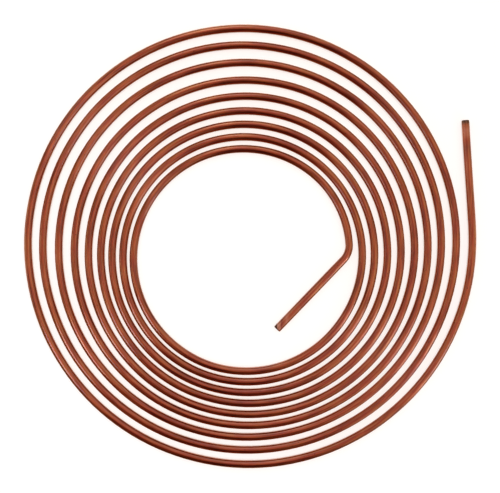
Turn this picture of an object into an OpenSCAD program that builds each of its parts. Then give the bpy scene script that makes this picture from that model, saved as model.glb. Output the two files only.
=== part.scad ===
// Coil of soft copper tube: one tube wound into a flat open spiral, lying on a level floor.
// Millimetres, +Z up. The origin is under the middle of the coil's outline, at the floor.

/* [Tube] */
// Outside diameter of the tube
tube_od = 6.35; // [5:0.05:9.5]
// Wall thickness of the tube
wall = 0.76; // [0.5:0.02:1.2]
// Bevel the tube cutter leaves round the rim of each cut end
rim_bevel = 0.2; // [0.1:0.05:0.4]

/* [Winding] */
// Number of full turns
turns = 9; // [4:1:12]
// Centre-line radius of the innermost turn
first_turn_r = 87.2; // [70:0.1:130]
// How much tighter than that the first eighth of a turn is bent
lead_in_tighter = 6.9; // [0:0.1:12]
// The whole coil turned on the floor, anticlockwise seen from above, in degrees
coil_turned = 3.65; // [0:0.05:10]

/* [Clear gap from one turn to the next] */
// At the inner end
gap_inner = 2.5; // [2:0.1:8]
// A third of the way out
gap_third = 3.7; // [2:0.1:10]
// Two thirds of the way out
gap_two_thirds = 5.6; // [2:0.1:12]
// At the outer end
gap_outer = 6.3; // [2:0.1:14]

/* [Turns pushed to one side, as a share of the gap] */
// Toward +X, at the inner end
push_x_inner = 0.2; // [-0.6:0.05:0.6]
// Toward +X, a third of the way out
push_x_third = 0.25; // [-0.6:0.05:0.6]
// Toward +X, two thirds of the way out
push_x_two_thirds = -0.2; // [-0.6:0.05:0.6]
// Toward +X, at the outer end
push_x_outer = 0.25; // [-0.6:0.05:0.6]
// Toward +Y, at the inner end
push_y_inner = 0.2; // [-0.6:0.05:0.6]
// Toward +Y, a third of the way out
push_y_third = 0.3; // [-0.6:0.05:0.6]
// Toward +Y, two thirds of the way out
push_y_two_thirds = 0.5; // [-0.6:0.05:0.6]
// Toward +Y, at the outer end
push_y_outer = 0; // [-0.6:0.05:0.6]

/* [Free ends] */
// Bend where the inner end turns into the eye, in degrees
bend_angle = 47.6; // [30:0.1:80]
// Centre-line radius of that bend
bend_r = 17; // [12:0.5:30]
// Straight length of the inner end
inner_straight = 78; // [20:1:85]
// Straight length of the outer end
outer_straight = 85.5; // [20:0.5:120]

/* [Hidden] */
$fn = 96;
bore_d = tube_od - 2*wall;
step = 0.01;                // radii are rounded to this, so neighbouring arcs meet exactly
last = 4*turns - 1;         // number of the last quarter turn

// A value given at four stations along the winding, read t turns out from the inner end.
function along(t, a, b, c, d) = lookup(t, [[0, a], [turns/3, b], [2*turns/3, c], [turns, d]]);
function gap(t) = along(t, gap_inner, gap_third, gap_two_thirds, gap_outer);
function push_x(t) = gap(t)*along(t, push_x_inner, push_x_third, push_x_two_thirds, push_x_outer);
function push_y(t) = gap(t)*along(t, push_y_inner, push_y_third, push_y_two_thirds, push_y_outer);

// Mean radius of quarter turn k: every quarter steps out by a quarter of the pitch.
function mean_r(k) = k == 0 ? first_turn_r : mean_r(k - 1) + (tube_od + gap((k - 1)/4))/4;
// Its own radius: a turn pushed to one side has longer and shorter quarters.
function own_r(k) = mean_r(k) + (push_y(k/4)*cos(90*k + 45) - push_x(k/4)*sin(90*k + 45))/(2*sqrt(2));
function quarter_r(k) = round(own_r(k)/step)*step;
// Its centre: each quarter carries on in the direction the one before it left off.
function quarter_c(k) = k <= 1 ? [0, 0]
    : quarter_c(k - 1) + (quarter_r(k - 1) - quarter_r(k))*[cos(90*k), sin(90*k)];

lead_r = first_turn_r - lead_in_tighter;

// The bend is set to the angle near the one asked for whose sine and cosine are nearest to
// millionths, so that both its ends meet their neighbours exactly.
bend_leeway = 250;          // how far off it may be, in thousandths of a degree
function millionths(v) = round(v*1e6)/1e6;
function misfit(a) = abs(atan2(millionths(sin(a)), millionths(cos(a))) - a);
bend_choice = [for (i = [-bend_leeway:bend_leeway]) bend_angle + i/1000];
bend_misfit = [for (a = bend_choice) misfit(a)];
bend = bend_choice[search(min(bend_misfit), bend_misfit)[0]];

turned = [[cos(coil_turned), -sin(coil_turned)], [sin(coil_turned), cos(coil_turned)]];
// How far quarter turn k reaches along the floor in direction a, from the centre of the first turn.
function reach(k, a) = (turned*quarter_c(k))*[cos(a), sin(a)] + quarter_r(k) + tube_od/2;
outer_tip = turned*(quarter_c(last) + [quarter_r(last), outer_straight]);
top_side = max(reach(last - 3, 90), outer_tip[1] + tube_od/2*sin(coil_turned));
middle = [reach(last, 0) - reach(last - 2, 180), top_side - reach(last - 1, 270)]/2;

module ring() {
    difference() {
        circle(d = tube_od);
        circle(d = bore_d);
    }
}

// A bent piece of tube on centre-line radius r, from the +X direction anticlockwise through a.
module arc(r, a) rotate_extrude(angle = a, convexity = 4) translate([r, 0]) ring();

// A straight piece of tube up the Z axis, its far rim bevelled by the cutter.
module straight(length) rotate_extrude(convexity = 4)
    polygon([
        [bore_d/2, 0], [tube_od/2, 0], [tube_od/2, length - rim_bevel],
        [tube_od/2 - rim_bevel, length], [bore_d/2, length],
    ]);

// The first eighth of a turn, the bend before it and the straight end lying across the eye.
module inner_end() {
    rotate([0, 0, 45]) translate([quarter_r(1) - lead_r, 0, 0]) rotate([0, 0, -45]) {
        arc(lead_r, 45);
        translate([lead_r - bend_r, 0, 0]) rotate([0, 0, -bend]) {
            arc(bend_r, bend);
            translate([bend_r, 0, 0]) rotate([90, 0, 0]) straight(inner_straight);
        }
    }
}

// The turns: an eighth of a turn, then quarter after quarter to the outside.
module winding() {
    rotate([0, 0, 45]) arc(quarter_r(1), 45);
    for (k = [1:last])
        translate([quarter_c(k)[0], quarter_c(k)[1], 0]) rotate([0, 0, 90*k]) arc(quarter_r(k), 90);
}

// The outer end runs straight off the last turn.
module outer_end()
    translate([quarter_c(last)[0] + quarter_r(last), quarter_c(last)[1], 0])
        rotate([-90, 0, 0]) straight(outer_straight);

module copper_tube() {
    color("peru")
        translate([-middle[0], -middle[1], tube_od/2]) rotate([0, 0, coil_turned]) {
            inner_end();
            winding();
            outer_end();
        }
}

copper_tube();
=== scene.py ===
"""Coil of soft copper tube, wound by hand into a flat open spiral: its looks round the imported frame."""
import math

import bpy
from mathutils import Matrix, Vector


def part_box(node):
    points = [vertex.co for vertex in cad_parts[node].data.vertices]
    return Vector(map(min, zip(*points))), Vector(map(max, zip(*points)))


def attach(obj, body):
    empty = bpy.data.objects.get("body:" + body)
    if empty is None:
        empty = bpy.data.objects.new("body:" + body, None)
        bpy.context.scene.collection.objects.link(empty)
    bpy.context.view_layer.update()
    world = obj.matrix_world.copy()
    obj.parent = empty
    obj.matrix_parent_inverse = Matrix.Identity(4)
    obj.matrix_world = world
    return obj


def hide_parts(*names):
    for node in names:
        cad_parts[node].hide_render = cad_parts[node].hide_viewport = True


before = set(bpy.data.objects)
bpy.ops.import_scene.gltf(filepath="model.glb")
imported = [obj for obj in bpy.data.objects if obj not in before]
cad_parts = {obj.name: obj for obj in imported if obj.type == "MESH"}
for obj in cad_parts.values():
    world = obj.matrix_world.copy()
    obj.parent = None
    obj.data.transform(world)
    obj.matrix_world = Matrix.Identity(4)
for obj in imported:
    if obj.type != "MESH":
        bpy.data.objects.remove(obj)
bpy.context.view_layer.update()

MM = 0.001

# ------------------------------------------------ sizes of the coil, in millimetres

TUBE_OD = 6.35
WALL = 0.76

# A wheel cutter rolls the tube in at a cut: distance back from the mouth, then how far it is rolled in
ROLLED_IN = ((2.4, 0.0), (1.6, 0.02), (0.9, 0.07), (0.4, 0.15), (0.12, 0.25), (0.0, 0.36))
# Rings across the flat rim, from the outside in
RIM_RINGS = (0.36, 0.55, 0.78)
# The lip that is turned into the bore: distance back from the mouth, then how far it stands in
BURR = ((0.15, 0.11), (0.5, 0.05), (1.2, 0.0))

TURNS = 9
FIRST_TURN_R = 87.2
LEAD_IN_TIGHTER = 6.9                  # the first eighth of a turn is bent tighter by this
COIL_TURNED = math.radians(3.65)       # how far the whole coil is turned on the floor
# Clear gap between turns at four stations: the inner end, one and two thirds out, and the outer end
GAP = (2.5, 3.7, 5.6, 6.3)
PUSH_X = (0.2, 0.25, -0.2, 0.25)       # turns pushed to +X there, as a share of the gap
PUSH_Y = (0.2, 0.3, 0.5, 0.0)          # and to +Y
BEND = math.radians(47.515)            # the tight bend at the inner end
BEND_R = 17.0
INNER_STRAIGHT = 78.0
OUTER_STRAIGHT = 85.5

# What winding it by hand leaves
FLATTENING = 0.03                      # share of its width that the tube loses at the bend
WAVER = 0.15                           # how far its line strays sideways at most
WAVER_LENGTH = 70.0                    # and over what length
WAVER_SEED = 3.0

# How finely the tube is drawn
SIDES = 32
WALL_STEP = math.radians(2.5)          # turn of the tube between two rings outside
BORE_STEP = math.radians(6.0)          # and inside
STRAIGHT_STEP = 6.0                    # between rings on a straight, in millimetres
SHARP_EDGE = math.radians(30)          # an edge that turns more than this shows as an edge


# ------------------------------------------------ small helpers

def hex_colour(code):
    """An sRGB hex value as linear RGBA."""
    parts = [int(code[i:i + 2], 16) / 255 for i in (0, 2, 4)]
    linear = [p / 12.92 if p <= 0.04045 else ((p + 0.055) / 1.055) ** 2.4 for p in parts]
    return (*linear, 1.0)


def add(tree, kind, inputs=None, **settings):
    """Adds a node. settings are its own properties. inputs go by name, or by number where names repeat,
    and each is a value or the node or socket that feeds it: a node feeds from the output it has on."""
    node = tree.nodes.new(kind)
    for name, value in settings.items():
        setattr(node, name, value)
    for name, value in (inputs or {}).items():
        if isinstance(name, str):
            socket = next(given for given in node.inputs if given.enabled and given.name == name)
        else:
            socket = node.inputs[name]
        if isinstance(value, bpy.types.Node):
            value = next(output for output in value.outputs if output.enabled)
        if isinstance(value, bpy.types.NodeSocket):
            tree.links.new(value, socket)
        else:
            socket.default_value = value
    return node


# ------------------------------------------------ the line the tube follows

def along(t, stations):
    """A value given at four stations of the winding, read t turns out from its inner end."""
    x = min(max(t / TURNS * 3, 0.0), 3.0)
    i = min(int(x), 2)
    return stations[i] + (stations[i + 1] - stations[i]) * (x - i)


def quarter_radii():
    """Radius of each quarter turn: it grows with the pitch, and swells where a turn is pushed aside."""
    radii, mean = [], FIRST_TURN_R
    for k in range(4 * TURNS):
        t, a = k / 4, math.radians(90 * k + 45)
        gap = along(t, GAP)
        push = gap * (along(t, PUSH_Y) * math.cos(a) - along(t, PUSH_X) * math.sin(a))
        # to a hundredth of a millimetre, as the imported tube's are
        radii.append(round(mean + push / (2 * math.sqrt(2)), 2))
        mean += (TUBE_OD + gap) / 4
    return radii


def runs():
    """Each straight and arc from the inner mouth to the outer one, as (length, angle turned)."""
    r = quarter_radii()
    arcs = [(BEND_R, BEND), (FIRST_TURN_R - LEAD_IN_TIGHTER, math.pi / 4), (r[1], math.pi / 4)]
    arcs += [(radius, math.pi / 2) for radius in r[1:]]
    curved = [(radius * angle, angle) for radius, angle in arcs]
    return [(INNER_STRAIGHT, 0.0), *curved, (OUTER_STRAIGHT, 0.0)]


def walk(step_angle):
    """Points of the centre line as (distance, x, y, heading, flattened), in millimetres.

    flattened is 1 where the tube follows the tight bend and dies away over a few diameters beyond it."""
    x, y, s = 0.0, 0.0, 0.0
    heading = math.pi / 2 + COIL_TURNED - BEND
    middle = INNER_STRAIGHT + BEND_R * BEND / 2
    reach = BEND_R * BEND / 2 + TUBE_OD
    points = [(s, x, y, heading, 0.0)]
    for length, angle in runs():
        steps = max(1, math.ceil(angle / step_angle if angle else length / STRAIGHT_STEP))
        turn, part = angle / steps, length / steps
        chord = part * (math.sin(turn / 2) / (turn / 2) if turn else 1.0)
        for _ in range(steps):
            x += chord * math.cos(heading + turn / 2)
            y += chord * math.sin(heading + turn / 2)
            s, heading = s + part, heading + turn
            flattened = math.exp(-((s - middle) / reach) ** 4)
            points.append((s, x, y, heading, flattened))
    return points


# ------------------------------------------------ the rail that the wall is wrapped round

OUTSIDE, RIM, BORE = 0, 1, 2           # what a strip of the wall is


def rail_stations():
    """The closed line that the wall follows: along the outside, over the far rim, back through the bore.

    Each station is (distance, x, y, heading, bend, depth, zone). depth is 1 at the tube's outside and 0
    at its bore, and zone says what the strip up to the next station is."""
    out, back = walk(WALL_STEP), walk(BORE_STEP)[::-1]
    inner, outer = out[0], out[-1]

    def at(point, shift, inset, zone):
        s, x, y, heading, bend = point
        x, y = x + shift * math.cos(heading), y + shift * math.sin(heading)
        return s + shift, x, y, heading, bend, 1 - inset / WALL, zone

    stations = [at(inner, back_off, inset, OUTSIDE) for back_off, inset in reversed(ROLLED_IN)]
    stations += [at(point, 0.0, 0.0, OUTSIDE) for point in out[1:-1]]
    stations += [at(outer, -back_off, inset, OUTSIDE) for back_off, inset in ROLLED_IN[:-1]]
    stations += [at(outer, 0.0, inset, RIM) for inset in RIM_RINGS]
    stations += [at(outer, -back_off, WALL + burr, BORE) for back_off, burr in BURR]
    stations += [at(point, 0.0, WALL, BORE) for point in back[1:-1]]
    stations += [at(inner, back_off, WALL + burr, BORE) for back_off, burr in reversed(BURR)]
    stations += [at(inner, 0.0, inset, RIM) for inset in reversed(RIM_RINGS[1:])]
    return stations


def make_rail():
    """The rail as a mesh of bare points, in metres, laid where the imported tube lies."""
    low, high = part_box("copper_tube")
    xs = [point[1] * MM for point in walk(WALL_STEP)]
    ys = [point[2] * MM for point in walk(WALL_STEP)]
    shift_x = (low.x + high.x) / 2 - (min(xs) + max(xs)) / 2
    shift_y = (low.y + high.y) / 2 - (min(ys) + max(ys)) / 2
    height = low.z + TUBE_OD / 2 * MM
    distances, x, y, headings, bends, depths, zones = zip(*rail_stations())
    mesh = bpy.data.meshes.new("rail")
    mesh.from_pydata([(a * MM + shift_x, b * MM + shift_y, height) for a, b in zip(x, y)], [], [])
    lengthwise = [(math.cos(heading), math.sin(heading), 0.0) for heading in headings]
    left = [(-math.sin(heading), math.cos(heading), 0.0) for heading in headings]
    facts = {
        "distance": ("FLOAT", [distance * MM for distance in distances]),
        "left": ("FLOAT_VECTOR", [part for direction in left for part in direction]),
        "lengthwise": ("FLOAT_VECTOR", [part for direction in lengthwise for part in direction]),
        "bend": ("FLOAT", bends),
        "depth": ("FLOAT", depths),
        "zone": ("INT", zones),
    }
    for name, (kind, values) in facts.items():
        field = "vector" if kind == "FLOAT_VECTOR" else "value"
        mesh.attributes.new(name, kind, "POINT").data.foreach_set(field, values)
    return bpy.data.objects.new("rail", mesh)


# ------------------------------------------------ the tree that wraps the wall round the rail

def tube_tree():
    """Geometry Nodes: a grid whose rows stand round the stations of the rail, closed both ways."""
    tree = bpy.data.node_groups.new("Drawn tube along a rail", "GeometryNodeTree")
    sockets = {}
    tree.interface.new_socket("Geometry", in_out="OUTPUT", socket_type="NodeSocketGeometry")
    for kind, names in (
        ("NodeSocketGeometry", ("Rail",)),
        ("NodeSocketInt", ("Sides",)),
        ("NodeSocketFloat", ("Outside Radius", "Bore Radius", "Flattening")),
        ("NodeSocketFloat", ("Waver", "Waver Length", "Seed")),
        ("NodeSocketMaterial", ("Outside", "Rim", "Bore")),
    ):
        for name in names:
            socket = tree.interface.new_socket(name, in_out="INPUT", socket_type=kind)
            sockets[name] = socket.identifier
    given = tree.nodes.new("NodeGroupInput").outputs
    position = tree.nodes.new("GeometryNodeInputPosition")

    def at_row(row, name, kind="FLOAT"):
        """One of the rail's own values, read at the station of each row."""
        stored = add(tree, "GeometryNodeInputNamedAttribute", {"Name": name}, data_type=kind)
        return add(tree, "GeometryNodeSampleIndex", {
            "Geometry": given["Rail"], "Value": stored, "Index": row}, data_type=kind, domain="POINT")

    # a flat grid, one row of faces for each step from station to station
    count = add(tree, "GeometryNodeAttributeDomainSize", {"Geometry": given["Rail"]}, component="MESH")
    stations = count.outputs["Point Count"]
    rows = add(tree, "ShaderNodeMath", {0: stations, 1: 1.0}, operation="ADD")
    columns = add(tree, "ShaderNodeMath", {0: given["Sides"], 1: 1.0}, operation="ADD")
    grid = add(tree, "GeometryNodeMeshGrid", {
        "Size X": 1.0, "Size Y": 1.0, "Vertices X": rows, "Vertices Y": columns})
    centred = add(tree, "ShaderNodeVectorMath", {0: position, 1: (0.5, 0.5, 0.0)}, operation="ADD")
    place = add(tree, "ShaderNodeSeparateXYZ", {0: centred}).outputs
    along_rail = add(tree, "ShaderNodeMath", {0: place["X"], 1: stations}, operation="MULTIPLY")

    # each face keeps what it is: outside, rim or bore
    face_row = add(tree, "ShaderNodeMath", {0: along_rail}, operation="FLOOR")
    zoned = add(tree, "GeometryNodeStoreNamedAttribute", {
        "Geometry": grid.outputs["Mesh"], "Name": "zone", "Value": at_row(face_row, "zone", "INT")},
        data_type="INT", domain="FACE")

    # each point's station, the last row falling on the first, and its angle round the tube
    nearest = add(tree, "ShaderNodeMath", {0: along_rail}, operation="ROUND")
    row = add(tree, "ShaderNodeMath", {0: nearest, 1: stations}, operation="FLOORED_MODULO")
    angle = add(tree, "ShaderNodeMath", {0: place["Y"], 1: -2 * math.pi}, operation="MULTIPLY")
    level = add(tree, "ShaderNodeMath", {0: angle}, operation="COSINE")
    rise = add(tree, "ShaderNodeMath", {0: angle}, operation="SINE")
    wall = add(tree, "ShaderNodeMath", {0: given["Outside Radius"], 1: given["Bore Radius"]},
               operation="SUBTRACT")
    radius = add(tree, "ShaderNodeMath", {0: wall, 1: at_row(row, "depth"), 2: given["Bore Radius"]},
                 operation="MULTIPLY_ADD")

    # a tight bend flattens the tube towards its centre
    flattened = add(tree, "ShaderNodeMath", {0: given["Flattening"], 1: at_row(row, "bend")},
                    operation="MULTIPLY")
    narrowed = add(tree, "ShaderNodeMath", {0: 1.0, 1: flattened}, operation="SUBTRACT")
    half_width = add(tree, "ShaderNodeMath", {0: radius, 1: narrowed}, operation="MULTIPLY")
    sideways = add(tree, "ShaderNodeMath", {0: half_width, 1: level}, operation="MULTIPLY")
    upward = add(tree, "ShaderNodeMath", {0: radius, 1: rise}, operation="MULTIPLY")

    # bending by hand leaves a slow, slight waver in its line
    distance = at_row(row, "distance")
    waves = add(tree, "ShaderNodeMath", {0: distance, 1: given["Waver Length"]}, operation="DIVIDE")
    waves = add(tree, "ShaderNodeCombineXYZ", {"X": waves})
    noise = add(tree, "ShaderNodeTexNoise", {
        "Vector": waves, "W": given["Seed"], "Scale": 1.0, "Detail": 1.0}, noise_dimensions="4D")
    swing = add(tree, "ShaderNodeMapRange", {
        "Value": noise, "From Min": 0.25, "From Max": 0.75, "To Min": -1.0, "To Max": 1.0})
    shift = add(tree, "ShaderNodeMath", {0: swing, 1: given["Waver"], 2: sideways},
                operation="MULTIPLY_ADD")
    offset = add(tree, "ShaderNodeVectorMath", {0: at_row(row, "left", "FLOAT_VECTOR"), "Scale": shift},
                 operation="SCALE")
    lift = add(tree, "ShaderNodeCombineXYZ", {"Z": upward})
    centre = add(tree, "GeometryNodeSampleIndex", {
        "Geometry": given["Rail"], "Value": position, "Index": row},
        data_type="FLOAT_VECTOR", domain="POINT")
    beside = add(tree, "ShaderNodeVectorMath", {0: centre, 1: offset}, operation="ADD")
    point = add(tree, "ShaderNodeVectorMath", {0: beside, 1: lift}, operation="ADD")

    # where each point lies on the tube laid straight: distance along it, then left and up from its axis
    straight = add(tree, "ShaderNodeCombineXYZ", {"X": distance, "Y": sideways, "Z": upward})
    lengthwise = at_row(row, "lengthwise", "FLOAT_VECTOR")
    stored = zoned
    for name, value in (("straightened", straight), ("lengthwise", lengthwise)):
        stored = add(tree, "GeometryNodeStoreNamedAttribute", {
            "Geometry": stored, "Name": name, "Value": value}, data_type="FLOAT_VECTOR", domain="POINT")
    rolled = add(tree, "GeometryNodeSetPosition", {"Geometry": stored, "Position": point})
    closed = add(tree, "GeometryNodeMergeByDistance", {"Geometry": rolled, "Distance": 1e-6})

    # smooth all over but for the edges of the rim
    smooth = add(tree, "GeometryNodeSetShadeSmooth", {"Geometry": closed, "Shade Smooth": True},
                 domain="FACE")
    turned = tree.nodes.new("GeometryNodeInputMeshEdgeAngle").outputs["Unsigned Angle"]
    gentle = add(tree, "ShaderNodeMath", {0: turned, 1: SHARP_EDGE}, operation="LESS_THAN")
    edged = add(tree, "GeometryNodeSetShadeSmooth", {"Geometry": smooth, "Shade Smooth": gentle},
                domain="EDGE")
    result = add(tree, "GeometryNodeRealizeInstances", {"Geometry": edged})
    for number, name in ((OUTSIDE, "Outside"), (RIM, "Rim"), (BORE, "Bore")):
        zone = add(tree, "GeometryNodeInputNamedAttribute", {"Name": "zone"}, data_type="INT")
        chosen = add(tree, "FunctionNodeCompare", {"A": zone, "B": number},
                     data_type="INT", operation="EQUAL")
        result = add(tree, "GeometryNodeSetMaterial", {
            "Geometry": result, "Selection": chosen, "Material": given[name]})
    add(tree, "NodeGroupOutput", {"Geometry": result})
    return tree, sockets


def make_tube(materials):
    """The whole tube as one closed mesh."""
    rail = make_rail()
    bpy.context.scene.collection.objects.link(rail)
    tree, sockets = tube_tree()
    wrap = rail.modifiers.new("wrap", "NODES")
    wrap.node_group = tree
    values = {
        "Sides": SIDES, "Outside Radius": TUBE_OD / 2 * MM, "Bore Radius": (TUBE_OD / 2 - WALL) * MM,
        "Flattening": FLATTENING, "Waver": WAVER * MM, "Waver Length": WAVER_LENGTH * MM,
        "Seed": WAVER_SEED, **materials}
    for name, value in values.items():
        wrap[sockets[name]] = value
    rail.update_tag()
    evaluated = rail.evaluated_get(bpy.context.evaluated_depsgraph_get())
    mesh = bpy.data.meshes.new_from_object(evaluated)
    mesh.materials.pop(index=0)            # the grid's own empty slot
    mesh.name = "copper_tube_drawn"
    tube = bpy.data.objects.new("copper_tube_drawn", mesh)
    bpy.context.scene.collection.objects.link(tube)
    rail.modifiers.remove(wrap)
    bpy.data.objects.remove(rail)
    return tube


# ------------------------------------------------ materials

def new_material(name):
    material = bpy.data.materials.new(name)
    material.use_nodes = True
    material.node_tree.nodes.clear()
    return material, material.node_tree


def on_the_tube(tree, along_mm, across_mm, seed, detail=3.0, roughness=0.55):
    """A grain that follows the tube: marks of about this length along it and this width round it."""
    place = add(tree, "ShaderNodeAttribute", attribute_name="straightened").outputs["Vector"]
    scale = (1 / (along_mm * MM), 1 / (across_mm * MM), 1 / (across_mm * MM))
    laid = add(tree, "ShaderNodeMapping", {
        "Vector": place, "Location": (seed, 0.0, 0.0), "Scale": scale})
    return add(tree, "ShaderNodeTexNoise", {
        "Vector": laid, "Scale": 1.0, "Detail": detail, "Roughness": roughness})


def colour_stops(ramp, stops):
    """Sets the stops of a colour ramp: place, sRGB hex and, if given, how strongly it shows."""
    elements = ramp.color_ramp.elements
    while len(elements) < len(stops):
        elements.new(0.5)
    for element, (place, code, *strength) in zip(elements, stops):
        element.position = place
        element.color = (*hex_colour(code)[:3], *(strength or (1.0,)))


# Marks of cutting and handling near each mouth, with painted highlights (the pink spots) and painted
# shade (the dark bands at the rolled-in lip): millimetres in from it, colour, how strongly it shows
INNER_MOUTH_MARKS_AND_PAINTED_LIGHT = ((0.0, "4a2a18", 0.8), (0.9, "d79a80", 0.8), (3.6, "d08a6c", 0.7), (5.4, "8a2c18", 0.8),
               (8.0, "b05a3c", 0.3), (11.5, "cf8468", 0.6), (16.0, "b4512e", 0.0))
OUTER_MOUTH_MARKS_AND_PAINTED_LIGHT = ((0.0, "54381c", 0.9), (2.2, "6a4322", 0.85), (4.2, "b4602f", 0.5),
               (8.0, "cf7f62", 0.75), (12.5, "cc7858", 0.7), (17.0, "b4441f", 0.5),
               (22.0, "7c3a1c", 0.5), (34.0, "8f4322", 0.0))


def mouth_marks_and_painted_light(tree, colour, distance, stops):
    """Lays the marks of one cut end, with their painted highlights and painted shade, over a colour.
    distance is measured in from that mouth.
    """
    reach = stops[-1][0]
    part = add(tree, "ShaderNodeMath", {0: distance, 1: 1 / (reach * MM)}, operation="MULTIPLY")
    marks_and_light = add(tree, "ShaderNodeValToRGB", {"Fac": part})
    colour_stops(marks_and_light, [(place / reach, code, strength) for place, code, strength in stops])
    return add(tree, "ShaderNodeMix", {"Factor": marks_and_light.outputs["Alpha"], "A": colour, "B": marks_and_light},
               data_type="RGBA")


# Painted shade across the tube, multiplied over the film's colour from the outer flank over the top to
# the inner flank: the top darker and rosier, the flanks paler
PAINTED_TONE_ACROSS = ((0.0, "ffffff"), (0.38, "f5c8ad"), (0.62, "f5c8ad"), (1.0, "eddadf"))
PAINTED_TONE_REACH = 1.7                      # how far out from the middle that runs, in millimetres


def copper_outside():
    """Soft copper tube, drawn, bright-annealed and since gone reddish brown with a thin cuprite film.

    The eye gets a saturated red-brown metal that drifts between orange and rose, with streaks along the
    drawing direction and a thin film of drawing oil that whitens its highlights."""
    material, tree = new_material("soft_copper_drawn_and_annealed")
    place = add(tree, "ShaderNodeAttribute", attribute_name="straightened").outputs["Vector"]
    place = add(tree, "ShaderNodeSeparateXYZ", {0: place}).outputs
    streaks = on_the_tube(tree, 24.0, 1.5, 0.0)
    patches = on_the_tube(tree, 30.0, 5.0, 31.0, detail=4.0, roughness=0.6)
    drift = on_the_tube(tree, 13.0, 9.0, 67.0, detail=2.0)
    # drawing lines are a few hundredths of a millimetre wide: drawn at 0.7 mm, so that they show
    lines = on_the_tube(tree, 60.0, 0.7, 57.0, detail=2.0)
    specks = on_the_tube(tree, 2.6, 1.6, 83.0, detail=1.0)
    dents = on_the_tube(tree, 15.0, 8.0, 11.0, detail=1.0)

    # the cuprite film: thicker in patches, rubbed thin in streaks
    part = add(tree, "ShaderNodeMath", {0: patches, 1: 0.45}, operation="MULTIPLY")
    blend = add(tree, "ShaderNodeMath", {0: streaks, 1: 0.55, 2: part}, operation="MULTIPLY_ADD")
    film = add(tree, "ShaderNodeValToRGB", {"Fac": blend})
    colour_stops(film, ((0.40, "934622"), (0.5, "bb6635"), (0.62, "d08853")))
    # its colour drifts with its thickness: rosier here, more orange there
    rosy = add(tree, "ShaderNodeMapRange", {
        "Value": drift, "From Min": 0.42, "From Max": 0.62, "To Max": 0.32})
    colour = add(tree, "ShaderNodeMix", {"Factor": rosy, "A": film, "B": hex_colour("bd5941")},
                 data_type="RGBA")
    orange = add(tree, "ShaderNodeMapRange", {
        "Value": drift, "From Min": 0.5, "From Max": 0.36, "To Max": 0.3})
    colour = add(tree, "ShaderNodeMix", {"Factor": orange, "A": colour, "B": hex_colour("ad6723")},
                 data_type="RGBA")

    # small dark specks of oxide
    spotted = add(tree, "ShaderNodeMapRange", {
        "Value": specks, "From Min": 0.70, "From Max": 0.80, "To Max": 0.7})
    colour = add(tree, "ShaderNodeMix", {"Factor": spotted, "A": colour, "B": hex_colour("5a2a1a")},
                 data_type="RGBA")

    # painted shade: the top is made darker and rosier, and the flanks keep the paler orange film, the
    # outer one most
    across = add(tree, "ShaderNodeMapRange", {
        "Value": place["Y"], "From Min": -PAINTED_TONE_REACH * MM, "From Max": PAINTED_TONE_REACH * MM})
    painted_tone = add(tree, "ShaderNodeValToRGB", {"Fac": across})
    colour_stops(painted_tone, PAINTED_TONE_ACROSS)
    colour = add(tree, "ShaderNodeMix", {"Factor": 1.0, "A": colour, "B": painted_tone},
                 data_type="RGBA", blend_type="MULTIPLY")

    # painted shade: the lower half of the tube, towards the floor, is darkened
    painted_under_shade = add(tree, "ShaderNodeMapRange", {
        "Value": place["Z"], "From Min": 2.0 * MM, "From Max": 0.0, "To Min": 0.0, "To Max": 0.4})
    colour = add(tree, "ShaderNodeMix", {"Factor": painted_under_shade, "A": colour, "B": hex_colour("7a3018")},
                 data_type="RGBA")

    # at the inner mouth the marks run slantwise across the tube, putting the painted shade at one corner
    # of the mouth and the painted highlight further along the other side
    slanted = add(tree, "ShaderNodeMath", {0: place["X"], 1: place["Y"]}, operation="SUBTRACT")
    colour = mouth_marks_and_painted_light(tree, colour, slanted, INNER_MOUTH_MARKS_AND_PAINTED_LIGHT)
    length = sum(run[0] for run in runs()) * MM
    from_outer = add(tree, "ShaderNodeMath", {0: length, 1: place["X"]}, operation="SUBTRACT")
    colour = mouth_marks_and_painted_light(tree, colour, from_outer, OUTER_MOUTH_MARKS_AND_PAINTED_LIGHT)

    # the drawing lines and shallow dents break up its gloss
    gloss = add(tree, "ShaderNodeMapRange", {
        "Value": lines, "From Min": 0.3, "From Max": 0.7, "To Min": 0.27, "To Max": 0.38})
    relief = add(tree, "ShaderNodeMath", {0: dents, 1: 3.0, 2: lines}, operation="MULTIPLY_ADD")
    bump = add(tree, "ShaderNodeBump", {"Height": relief, "Strength": 0.5, "Distance": 0.05 * MM})
    tangent = add(tree, "ShaderNodeAttribute", attribute_name="lengthwise").outputs["Vector"]
    shader = add(tree, "ShaderNodeBsdfPrincipled", {
        "Base Color": colour, "Metallic": 1.0, "Roughness": gloss, "Normal": bump,
        "Anisotropic": 0.5, "Anisotropic Rotation": 0.25, "Tangent": tangent,
        "Coat Weight": 1.0, "Coat Roughness": 0.15, "Coat IOR": 1.75})
    add(tree, "ShaderNodeOutputMaterial", {"Surface": shader})
    return material


def copper_rim():
    """Copper just cut by a wheel: clean and pink, with the fine rings that the cutter leaves."""
    material, tree = new_material("copper_cut_bright")
    rings = on_the_tube(tree, 0.3, 0.5, 7.0)
    tone = add(tree, "ShaderNodeValToRGB", {"Fac": rings})
    colour_stops(tone, ((0.35, "b87458"), (0.65, "e6a685")))
    bump = add(tree, "ShaderNodeBump", {"Height": rings, "Strength": 0.4, "Distance": 0.02 * MM})
    shader = add(tree, "ShaderNodeBsdfPrincipled", {
        "Base Color": tone, "Metallic": 1.0, "Roughness": 0.3, "Normal": bump})
    add(tree, "ShaderNodeOutputMaterial", {"Surface": shader})
    return material


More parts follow.
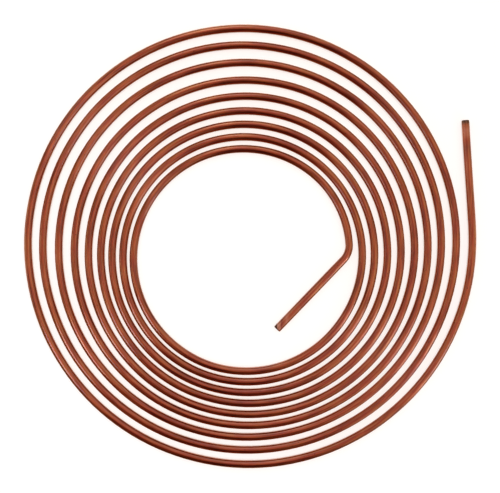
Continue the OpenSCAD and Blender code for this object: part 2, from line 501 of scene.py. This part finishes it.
def copper_bore():
    """The tube's inside: the annealing furnace has left it dull and dark."""
    material, tree = new_material("copper_bore_oxide")
    streaks = on_the_tube(tree, 20.0, 1.2, 19.0)
    tone = add(tree, "ShaderNodeValToRGB", {"Fac": streaks})
    colour_stops(tone, ((0.35, "4a2416"), (0.65, "7a4028")))
    shader = add(tree, "ShaderNodeBsdfPrincipled", {
        "Base Color": tone, "Metallic": 0.6, "Roughness": 0.5})
    add(tree, "ShaderNodeOutputMaterial", {"Surface": shader})
    return material


tube = make_tube({"Outside": copper_outside(), "Rim": copper_rim(), "Bore": copper_bore()})
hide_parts("copper_tube")
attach(tube, "root")

# ------------------------------------------------ floor, light and camera

FLOOR_HALF = 8.0                       # half the floor's side, in metres


def make_floor():
    """A white floor that glows a little, so that the coil casts next to no shadow on it."""
    material, tree = new_material("floor_white")
    shader = add(tree, "ShaderNodeBsdfPrincipled", {
        "Base Color": hex_colour("acacac"), "Roughness": 0.8,
        "Emission Color": hex_colour("fff3ed"), "Emission Strength": 0.62})
    add(tree, "ShaderNodeOutputMaterial", {"Surface": shader})
    corners = [(x * FLOOR_HALF, y * FLOOR_HALF, 0.0) for x, y in ((-1, -1), (1, -1), (1, 1), (-1, 1))]
    mesh = bpy.data.meshes.new("floor")
    mesh.from_pydata(corners, [], [(0, 1, 2, 3)])
    mesh.materials.append(material)
    floor = bpy.data.objects.new("floor", mesh)
    bpy.context.scene.collection.objects.link(floor)
    floor.visible_glossy = False


# Large soft panels far off: azimuth, elevation and half-spread in degrees, then brightness and colour
PANELS = (
    ("overhead", 90, 90, 22, 0.26, "ffe0db"),
    ("right_high", 0, 60, 22, 0.87, "fffff1"),
    ("back_high", 90, 60, 22, 0.64, "f5f2ff"),
    ("left_high", 180, 60, 22, 0.61, "fffaf5"),
    ("back_right", 45, 35, 20, 0.65, "fffef9"),
    ("back", 90, 35, 20, 0.81, "f3f3ff"),
    ("back_left", 135, 35, 20, 0.33, "fffae4"),
    ("front_left", 225, 35, 20, 0.30, "ffd0d0"),
    ("front_right", 315, 35, 20, 1.12, "fcf9ff"),
    ("right_low", 0, 12, 16, 0.96, "fffbf5"),
    ("back_right_low", 45, 12, 16, 0.56, "fffcf7"),
    ("back_left_low", 135, 12, 16, 0.53, "fffcf5"),
    ("left_low", 180, 12, 16, 1.12, "fffdfe"),
    ("front_left_low", 225, 12, 16, 0.08, "ffe6de"),
    ("front_low", 270, 12, 16, 0.14, "ffd4dc"),
    ("front_right_low", 315, 12, 16, 0.36, "faf9ff"),
    ("right_below", 0, -35, 30, 0.65, "fffbf7"),
    ("back_below", 90, -35, 35, 1.20, "fffbf8"),
    ("left_below", 180, -35, 30, 0.55, "fffcfa"),
    ("front_below", 270, -35, 30, 0.15, "fff4ee"),
    ("below", 0, -90, 50, 0.90, "ffc89a"),
)
# Small soft lamps close by: place and disk size in metres, then power in watts and colour
LAMPS = (
    ("near_left", (-0.27, -0.17, 0.20), 0.12, 0.120, "bddaff"),
    ("near_right", (0.44, -0.28, 0.18), 0.16, 0.210, "c9e5ff"),
    ("near_back", (-0.08, 0.36, 0.25), 0.20, 0.070, "e9fffb"),
    ("near_back_left", (-0.30, 0.22, 0.20), 0.14, 0.030, "a8ccff"),
    ("over_left", (-0.14, 0.10, 0.28), 0.14, 0.030, "fff3e7"),
    ("over_right", (0.15, -0.15, 0.55), 0.25, 0.045, "ffe0ee"),
    ("over_front_left", (-0.25, -0.12, 0.40), 0.20, 0.045, "f7fff3"),
)
SUN_STRENGTH = 1.75
SUN_SPREAD = math.radians(12)


def make_world():
    """The panels as soft lobes of light all round, in front of an even pale backdrop."""
    world = bpy.data.worlds.new("studio")
    world.use_nodes = True
    tree = world.node_tree
    tree.nodes.clear()
    toward = add(tree, "ShaderNodeTexCoord").outputs["Generated"]
    total = None
    for name, azimuth, elevation, spread, strength, colour in PANELS:
        a, e = math.radians(azimuth), math.radians(elevation)
        middle = (math.cos(e) * math.cos(a), math.cos(e) * math.sin(a), math.sin(e))
        facing = add(tree, "ShaderNodeVectorMath", {0: toward, 1: middle}, operation="DOT_PRODUCT")
        slope = 1 / (1 - math.cos(math.radians(spread)))
        fall = add(tree, "ShaderNodeMath", {0: facing.outputs["Value"], 1: slope, 2: -slope},
                   operation="MULTIPLY_ADD")
        glow = add(tree, "ShaderNodeMath", {0: fall}, operation="EXPONENT")
        scaled = add(tree, "ShaderNodeMath", {0: glow, 1: strength}, operation="MULTIPLY")
        scaled.label = name
        panel = add(tree, "ShaderNodeBackground", {"Color": hex_colour(colour), "Strength": scaled})
        total = add(tree, "ShaderNodeAddShader", {0: total, 1: panel}) if total else panel
    backdrop = add(tree, "ShaderNodeBackground", {"Color": hex_colour("f4f4f4"), "Strength": 1.0})
    seen = add(tree, "ShaderNodeLightPath").outputs["Is Camera Ray"]
    shown = add(tree, "ShaderNodeMixShader", {0: seen, 1: total, 2: backdrop})
    add(tree, "ShaderNodeOutputWorld", {"Surface": shown})
    bpy.context.scene.world = world


def make_light():
    """A light straight above that the copper doesn't reflect, and the soft lamps that it does."""
    sun = bpy.data.lights.new("floor_light", "SUN")
    sun.energy = SUN_STRENGTH
    sun.angle = SUN_SPREAD
    lamp = bpy.data.objects.new("floor_light", sun)
    lamp.visible_glossy = False
    bpy.context.scene.collection.objects.link(lamp)
    for name, place, size, power, code in LAMPS:
        data = bpy.data.lights.new(name, "AREA")
        data.color = hex_colour(code)[:3]
        data.shape = "DISK"
        data.size = size
        data.energy = power
        lamp = bpy.data.objects.new(name, data)
        lamp.location = place
        lamp.rotation_euler = (-Vector(place)).to_track_quat("-Z", "Y").to_euler()
        lamp.visible_camera = False
        bpy.context.scene.collection.objects.link(lamp)


# In metres
CAMERA_PLACE = (-0.0002, -0.0002, 1.0)
VIEW_WIDTH = 0.4058                    # what it frames, level with the tube's axis


def make_camera():
    """Straight above the coil, on a long lens."""
    lens = bpy.data.cameras.new("camera")
    camera = bpy.data.objects.new("camera", lens)
    lens.sensor_width = 36.0
    lens.lens = lens.sensor_width * (CAMERA_PLACE[2] - TUBE_OD / 2 * MM) / VIEW_WIDTH
    camera.location = CAMERA_PLACE
    bpy.context.scene.collection.objects.link(camera)
    bpy.context.scene.camera = camera


# A gentle contrast: light tones hold and dark ones sink. Each pair is a linear tone, before and after
CONTRAST = ((0.02, 0.006), (0.06, 0.034), (0.15, 0.118), (0.35, 0.322))
ALL_CHANNELS = 3                       # which of the view's curves acts on red, green and blue at once


def set_contrast():
    view = bpy.context.scene.view_settings
    view.view_transform = "Standard"
    view.use_curve_mapping = True
    curve = view.curve_mapping.curves[ALL_CHANNELS]
    for before, after in CONTRAST:
        curve.points.new(before, after)
    view.curve_mapping.update()


make_floor()
make_world()
make_light()
make_camera()
set_contrast()
